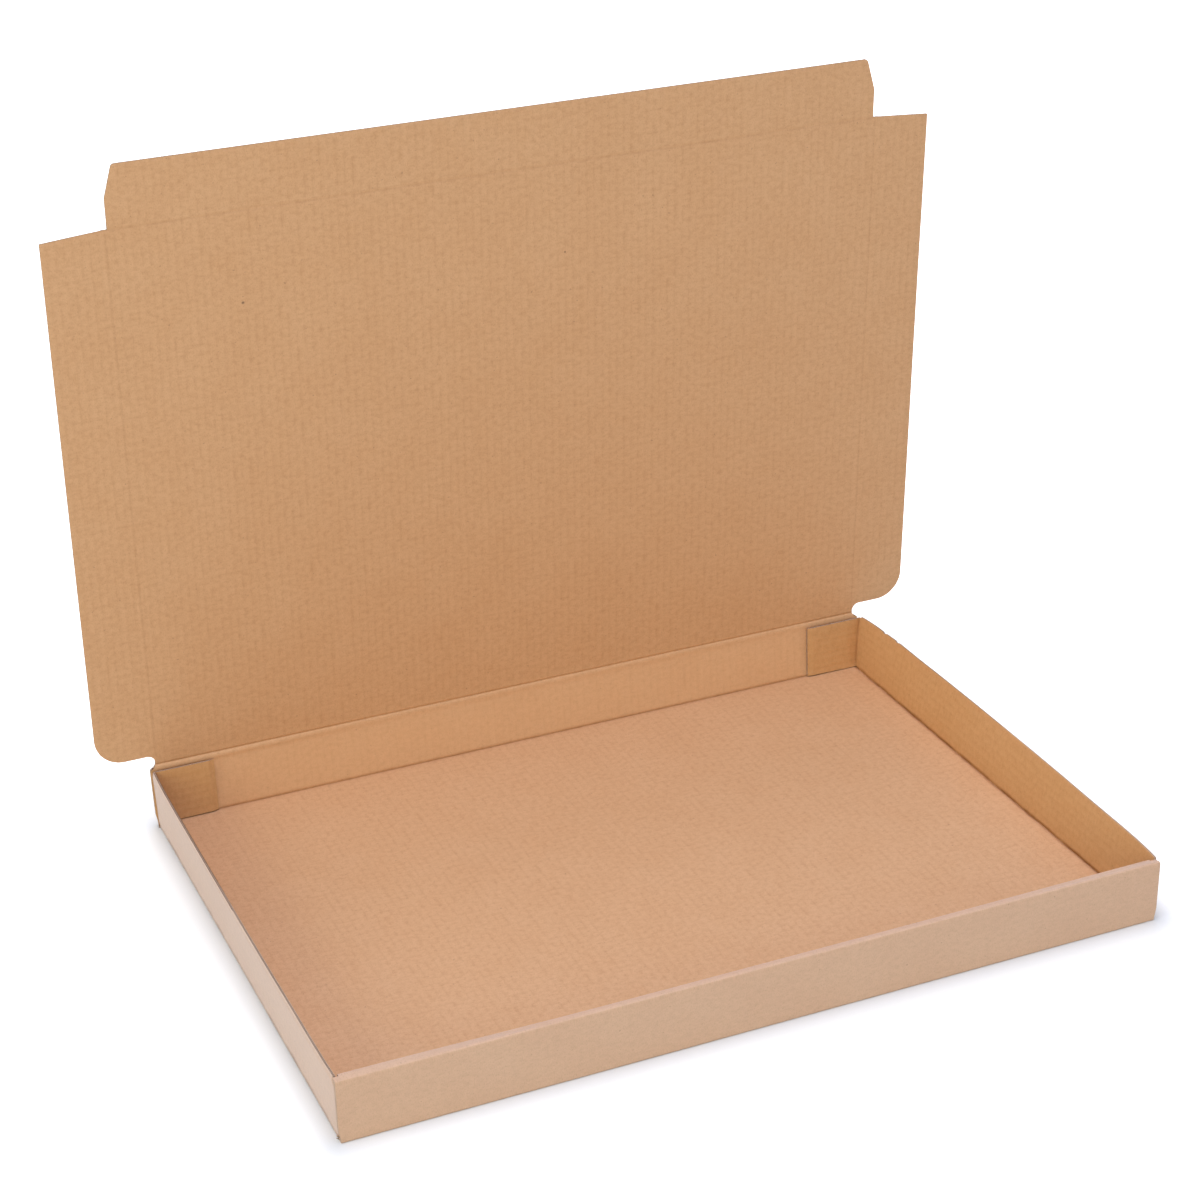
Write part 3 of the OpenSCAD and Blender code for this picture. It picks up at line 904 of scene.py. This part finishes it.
def kraft(name, base, light, dark, shift, grain, lines, side_bounce=0.0, sheen=0.0):
    """Brown kraft liner: fibres, cloudy mottling, streaks over the flute tips and a few dark specks, with
    painted shade in the folds' crevices and painted light that makes the back wall lighter. Shift sets one
    liner's noise apart from the other's, grain and lines are the strengths of the mottling and of the
    streaks, and the next strength is that of the painted bounce light that makes the side walls more
    amber. Only the inner liner has that painted bounce light, and it has the lid's specks."""
    tree = Tree(name)
    place = tree.sheet()
    across, along = tree.parts(place)
    cloud = tree.noise(place, 26, detail=3, shift=shift)
    mottle = tree.noise(place, 2.4, (1.4, 0.8), detail=3, rough=0.6, shift=shift)
    fibre = tree.noise(place, 0.6, (0.8, 1.5), rough=0.7, shift=shift + 5)
    cross_fibre = tree.noise(place, 0.9, (2.0, 0.6), rough=0.6, shift=shift + 9)
    broken = tree.noise(place, 2.2, (0.7, 1.5), rough=0.6, shift=shift + 2)
    spot = tree.noise(place, 1.5, detail=1, shift=shift + 13)
    stripe = tree.math("COSINE", tree.math("MULTIPLY", across, 2 * math.pi / (PITCH * MM)))
    streak = tree.math("MULTIPLY", tree.between(stripe, 0.1, 1.0), tree.between(broken, 0.42, 0.68))
    tone = tree.mix(tree.between(cloud, 0.2, 0.8), colour(base), colour(light))
    # Among these tones is painted light: a lighter back wall, and painted bounce light on the side walls
    for share, strength, code in ((tree.between(mottle, 0.42, 0.7), grain, dark),
                                  (tree.between(fibre, 0.48, 0.72), 0.38, dark),
                                  (tree.between(cross_fibre, 0.52, 0.78), 0.5, light),
                                  (streak, lines, dark),
                                  (tree.between(spot, 0.745, 0.785), 0.3, SPECK),
                                  *painted_wall_light(tree, across, along, side_bounce)):
        tone = tree.mix(tree.math("MULTIPLY", share, strength), tone, colour(code))
    for x, u, size, code in SPECKS if side_bounce else ():
        tone = tree.mix(tree.dot(place, x, HINGE_S + u, size), tone, colour(code))
    # Painted shade: the folds' crevices and the lid's creases are darkened in the colour
    tone = tree.mix(painted_crevice_shade(tree, across, along), tone, colour(CREVICE_SHADE))
    tree.set(tree.shader.inputs["Base Color"], tone)
    tree.shader.inputs["Roughness"].default_value = 0.78
    tree.shader.inputs["IOR"].default_value = 1.45
    tree.shader.inputs["Sheen Weight"].default_value = sheen
    tree.shader.inputs["Sheen Roughness"].default_value = 0.5
    relief = tree.bump(mottle, 0.05, 0.5)
    tree.set(tree.shader.inputs["Normal"], tree.bump(fibre, 0.03, 0.7, relief))
    return tree.material


def painted_wall_light(tree, across, along, side_bounce):
    """Painted light on the walls, each as where it is, its strength and its colour: painted light makes the
    back wall a little lighter, and painted bounce light makes the side walls with their corner flaps a
    deeper amber."""
    past_fold = tree.between(along, BACK_FOLD_S * MM, (BACK_FOLD_S + 1.5) * MM, 0.0, 0.24)
    under_hinge = tree.between(along, (HINGE_S - 3) * MM, (HINGE_S + 3) * MM, 1.0, 0.0)
    past_side = tree.between(tree.math("ABSOLUTE", across), WELD_X * MM, (WELD_X + 2) * MM)
    on_back = tree.math("MULTIPLY", past_fold, tree.math("SUBTRACT", 1.0, past_side))
    on_sides = tree.math("MULTIPLY", past_side, tree.math("LESS_THAN", along, HINGE_S * MM))
    return (on_back, under_hinge, BACK_WALL_LIGHT), (on_sides, side_bounce, SIDE_WALL_BOUNCE)


def cut_fibre(name):
    """Cut edge of the board: torn fibre between the liners, darker where painted shade fills the hollows of
    the open cells.
    """
    tree = Tree(name)
    place = tree.sheet()
    _, depth = tree.parts(place)
    grain = tree.noise(place, 0.5, (2.2, 0.35), detail=3, rough=0.7)
    # Painted shade: the deeper a place sinks into the open cells, the darker its colour
    inside = tree.between(depth, 0.1 * MM, 1.0 * MM)
    tone = tree.mix(grain, colour(CUT_DARK), colour(CUT_LIGHT))
    tone = tree.mix(tree.math("MULTIPLY", inside, 0.9), tone, colour(CUT_HOLLOW_SHADE))
    tree.set(tree.shader.inputs["Base Color"], tone)
    tree.shader.inputs["Roughness"].default_value = 0.85
    tree.set(tree.shader.inputs["Normal"], tree.bump(grain, 0.08, 0.8))
    return tree.material


# Materials of the inner face, the outer face and the cut edges
FINISH = (kraft("inner_liner", "#d4a679", "#d8ac80", "#b07f4e",
                shift=0.0, grain=0.27, lines=0.22, side_bounce=0.25),
          kraft("outer_liner", "#d3ac8b", "#d7b291", "#ac8967",
                shift=31.0, grain=0.2, lines=0.05, sheen=0.5),
          cut_fibre("edge_fibre"))


def piece(board, name, node=None, body=None):
    """Builds a board as an object, which may stand for a node of the frame and ride on its body."""
    obj = board.build(name, FINISH)
    if node:
        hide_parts(node)
    if body:
        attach(obj, body)
    return obj


def on_lid(x, u):
    """Point in the middle of the lid's board, in metres."""
    return (HINGE + Vector((x, 0, 0)) + u * UP_LID) * MM


piece(tray_board(), "tray_board", "tray", "tray")
piece(lid_board(), "lid_board", "lid", "lid")
piece(tuck_board(), "tuck_board", "tuck_flap", "tuck_flap")
hinge = piece(hinge_board(), "hinge_crease")
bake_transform(hinge)
tuck_crease = piece(tuck_crease_board(), "tuck_crease")
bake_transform(tuck_crease)
for side, word in ((-1, "left"), (1, "right")):
    flap = f"{word}_side_flap"
    near, far = SIDE_X - CREASE_HALF, SIDE_X + CREASE_HALF
    piece(side_stretch(far, FLAP_FAR, side), f"{word}_flap_board", flap, flap)
    crease = piece(side_stretch(near, far, side), f"{word}_flap_crease")
    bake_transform(crease)


def for_camera(nodes, links, other, seen):
    """Shader that the camera sees in one way and every other ray in another."""
    path = nodes.new("ShaderNodeLightPath")
    pick = nodes.new("ShaderNodeMixShader")
    for socket, source in zip(pick.inputs, (path.outputs["Is Camera Ray"], other, seen)):
        links.new(source, socket)
    return pick.outputs[0]


# The floor's glow by the distance from the box's footprint: start and end in metres, and how much it adds
FLOOR_GLOW = [(0.0, 0.011, 0.3), (0.01, 0.09, 0.7)]
FLOOR_TINT = (0.79, 0.8, 0.76, 1)
FLOOR_REACH = 3.0

# Room: tint and strength of its light, and of what the camera sees
ROOM_LIGHT = ((0.78, 0.8, 1, 1), 0.47)
ROOM_SEEN = ((1, 1, 1, 1), 1)


def white_ground():
    """Floor that shows white to the camera and keeps the soft shadow of the box. Its glow, which only the
    camera sees, grows with the distance from the box's footprint."""
    mesh = bpy.data.meshes.new("studio_floor")
    corners = [(-1, -1), (1, -1), (1, 1), (-1, 1)]
    mesh.from_pydata([(x * FLOOR_REACH, y * FLOOR_REACH, 0) for x, y in corners], [], [(0, 1, 2, 3)])
    floor = bpy.data.objects.new("studio_floor", mesh)
    bpy.context.scene.collection.objects.link(floor)
    tree = Tree("studio_white")
    tree.shader.inputs["Base Color"].default_value = FLOOR_TINT
    tree.shader.inputs["Roughness"].default_value = 0.9
    tree.shader.inputs["Specular IOR Level"].default_value = 0
    here = tree.parts(tree.nodes.new("ShaderNodeTexCoord").outputs["Object"])
    squares = []
    for place, half in zip(here, (HALF_W * MM, -FRONT_Y * MM)):
        past = tree.math("SUBTRACT", tree.math("ABSOLUTE", place), half)
        beside = tree.math("MAXIMUM", past, 0.0)
        squares.append(tree.math("MULTIPLY", beside, beside))
    away = tree.math("SQRT", tree.math("ADD", *squares))
    glow, dark = (tree.nodes.new("ShaderNodeEmission") for _ in range(2))
    glow.inputs["Color"].default_value = (1, 1, 1, 1)
    dark.inputs["Strength"].default_value = 0
    near, far = (tree.between(away, start, end, 0.0, most) for start, end, most in FLOOR_GLOW)
    tree.set(glow.inputs["Strength"], tree.math("ADD", near, far))
    both_shaders = tree.nodes.new("ShaderNodeAddShader")
    tree.set(both_shaders.inputs[0], tree.shader.outputs[0])
    tree.set(both_shaders.inputs[1], for_camera(tree.nodes, tree.links, dark.outputs[0], glow.outputs[0]))
    tree.set(tree.output.inputs["Surface"], both_shaders.outputs[0])
    mesh.materials.append(tree.material)


def white_world():
    """Even room of a cool, dim white, which the camera sees as white."""
    world = bpy.data.worlds.new("studio_room")
    bpy.context.scene.world = world
    world.use_nodes = True
    nodes, links = world.node_tree.nodes, world.node_tree.links
    room, seen = nodes["Background"], nodes.new("ShaderNodeBackground")
    for node, (tint, strength) in ((room, ROOM_LIGHT), (seen, ROOM_SEEN)):
        node.inputs["Color"].default_value = tint
        node.inputs["Strength"].default_value = strength
    shown = for_camera(nodes, links, room.outputs[0], seen.outputs[0])
    links.new(shown, nodes["World Output"].inputs["Surface"])


# Square softboxes: name, place, aim, size in metres, power in watts and tint
LAMPS = [("top", (-0.4, -0.48, 2.6), (0, 0, 0), 1.6, 45, (0.74, 0.79, 1)),
         ("front", (-0.7, -2.0, 0.6), (0, 0, 0.1), 1.0, 11.8, (1, 0.91, 0.55)),
         ("side", (-1.6, -0.2, 0.9), (0, 0, 0.1), 0.8, 5.6, (1, 0.97, 0.62)),
         ("back", (0.3, 0.75, 1.8), (0, 0, 0), 0.6, 6.4, (0.78, 0.8, 1)),
         ("fill", (0.3, 1.9, 0.6), (0, 0, 0.12), 1.0, 10, (1, 0.93, 0.8))]


def soft_light(name, place, aim, size, power, tint):
    """Square softbox that points at a place."""
    data = bpy.data.lights.new(name, "AREA")
    data.shape = "SQUARE"
    data.size = size
    data.energy = power
    data.color = tint
    lamp = bpy.data.objects.new(name, data)
    lamp.location = place
    lamp.rotation_mode = "QUATERNION"
    lamp.rotation_quaternion = (Vector(aim) - Vector(place)).to_track_quat("-Z", "Y")
    bpy.context.scene.collection.objects.link(lamp)


# Camera, as found by fitting the box's corners: place in millimetres; azimuth, elevation and roll in
# degrees; width of the picture, focal length and middle of the view in pixels
CAMERA_AT = (-388.03, -861.82, 586.21)
CAMERA_ANGLES = (-22.063, 26.855, -1.692)
PICTURE = 1200
FOCAL = 2612.8
MIDDLE = (544.4, 645.4)


def add_camera():
    """Camera at the photograph's place."""
    azimuth, elevation, roll = (math.radians(a) for a in CAMERA_ANGLES)
    back = Vector((math.sin(azimuth) * math.cos(elevation),
                   -math.cos(azimuth) * math.cos(elevation), math.sin(elevation)))
    level = Vector((math.cos(azimuth), math.sin(azimuth), 0))
    upright = back.cross(level)
    right = math.cos(roll) * level + math.sin(roll) * upright
    up = math.cos(roll) * upright - math.sin(roll) * level
    data = bpy.data.cameras.new("camera")
    data.sensor_width = 36
    data.lens = FOCAL * data.sensor_width / PICTURE
    data.shift_x = (PICTURE / 2 - MIDDLE[0]) / PICTURE
    data.shift_y = (MIDDLE[1] - PICTURE / 2) / PICTURE
    data.clip_start = 0.05
    camera = bpy.data.objects.new("camera", data)
    turned = Matrix((right, up, back)).transposed()
    camera.matrix_world = Matrix.Translation(Vector(CAMERA_AT) * MM) @ turned.to_4x4()
    bpy.context.scene.collection.objects.link(camera)
    bpy.context.scene.camera = camera


white_ground()
white_world()
for lamp in LAMPS:
    soft_light(*lamp)
add_camera()
